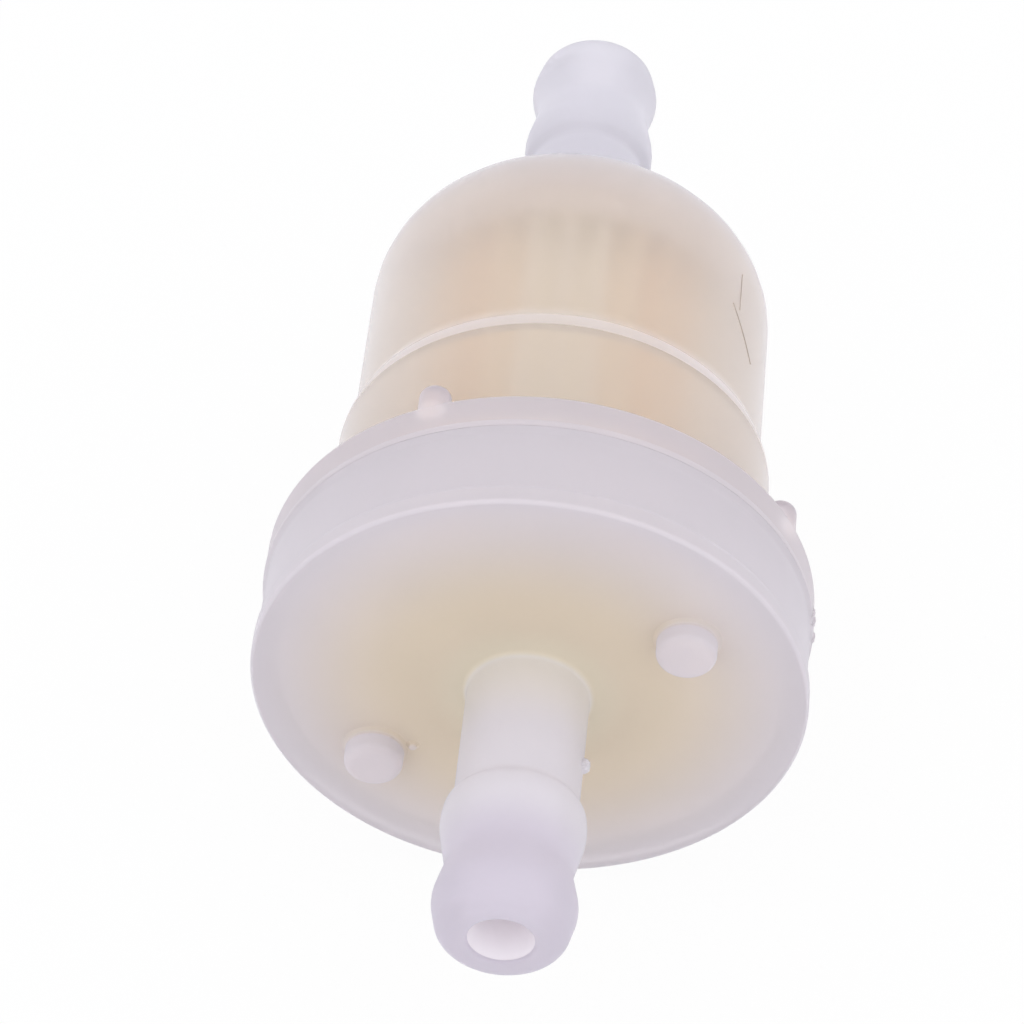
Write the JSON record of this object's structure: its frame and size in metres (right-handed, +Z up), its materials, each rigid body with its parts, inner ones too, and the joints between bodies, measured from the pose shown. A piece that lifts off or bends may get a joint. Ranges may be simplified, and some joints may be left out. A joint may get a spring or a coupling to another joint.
{
  "type": "inline fuel filter",
  "caption": "Inline fuel filter: a welded, milky plastic bowl and base cup with barbed hose stems, round a pleated paper element that cleans fuel for a small engine.",
  "frame": {"origin": "on the flow axis, in the plane of the weld between the bowl and the base cup", "axes": "+Y along the flow axis from the outlet stem to the inlet stem, so fuel flows towards -Y; +Z up as the filter lies in the picture, +X to the right"},
  "size_m": [0.0366, 0.0811, 0.0366],
  "materials": {
    "bowl": "satin",
    "base_cup": "satin",
    "weld_bead": "satin",
    "filter_paper": "matte",
    "seam_bead": "satin",
    "end_cap": "matte",
    "potting": "satin"
  },
  "bodies": {
    "root": {"bowl": "bowl", "base_cup": "base_cup", "weld_bead": "weld_bead", "filter_paper": "filter_paper", "seam_bead": "seam_bead", "top_end_cap": "end_cap", "bottom_end_cap": "end_cap", "top_potting": "potting", "bottom_potting": "potting"}
  },
  "joints": []
}
